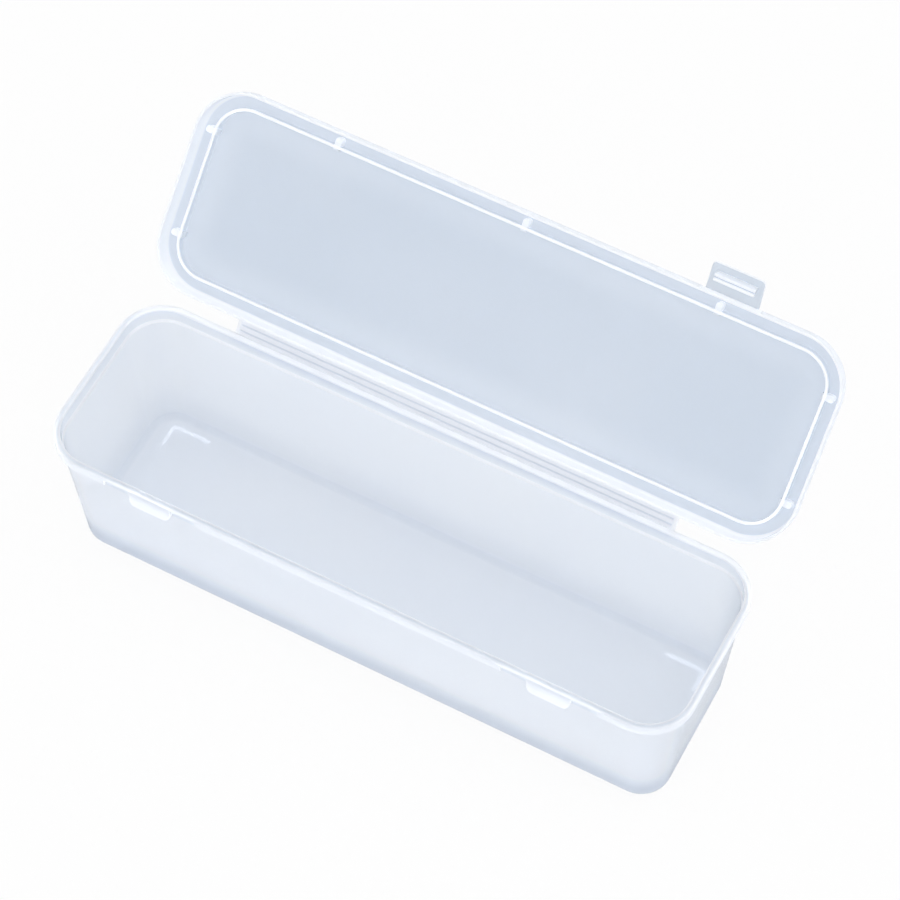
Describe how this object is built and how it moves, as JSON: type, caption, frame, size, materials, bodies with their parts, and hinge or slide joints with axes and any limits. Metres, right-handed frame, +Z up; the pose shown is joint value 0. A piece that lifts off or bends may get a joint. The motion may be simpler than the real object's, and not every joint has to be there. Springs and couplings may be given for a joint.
{
  "type": "hinged lid storage box",
  "caption": "Long frosted plastic storage box for make-up brushes, standing open: deep tub with a turned-down rim, lid on a folding hinge spine at the back, snap flap at the front.",
  "frame": {"origin": "middle of the plane that the tub's feet stand on, under the middle of the tub's mouth", "axes": "+X along the box, to the right seen from the front; -Y to the front, the side of the snap flap; +Z up"},
  "size_m": [0.2778, 0.1553, 0.1488],
  "materials": {
    "frosted_shell": "fine frosted polypropylene, one colour",
    "frosted_fold": "fine frosted polypropylene, one colour",
    "frosted_lid": "fine frosted polypropylene, one colour",
    "frosted_clasp": "fine frosted polypropylene, one colour"
  },
  "bodies": {
    "tub": {"tub": "frosted_shell"},
    "spine": {"hinge_spine": "frosted_fold"},
    "lid": {"lid": "frosted_lid"},
    "flap": {"latch_flap": "frosted_clasp"}
  },
  "joints": [
    {"name": "spine_fold", "type": "hinge", "parent": "tub", "child": "spine", "pos_m": [0, 0.0432, 0.0675], "axis": [-1, 0, 0], "range_deg": [-42.5, 47.5]},
    {"name": "lid_fold", "type": "hinge", "parent": "spine", "child": "lid", "pos_m": [0, 0.04833, 0.0731], "axis": [-1, 0, 0], "range_deg": [-93.4, 10]},
    {"name": "flap_fold", "type": "hinge", "parent": "lid", "child": "flap", "pos_m": [0, 0.1071, 0.13813], "axis": [1, 0, 0], "range_deg": [-20, 70]}
  ]
}
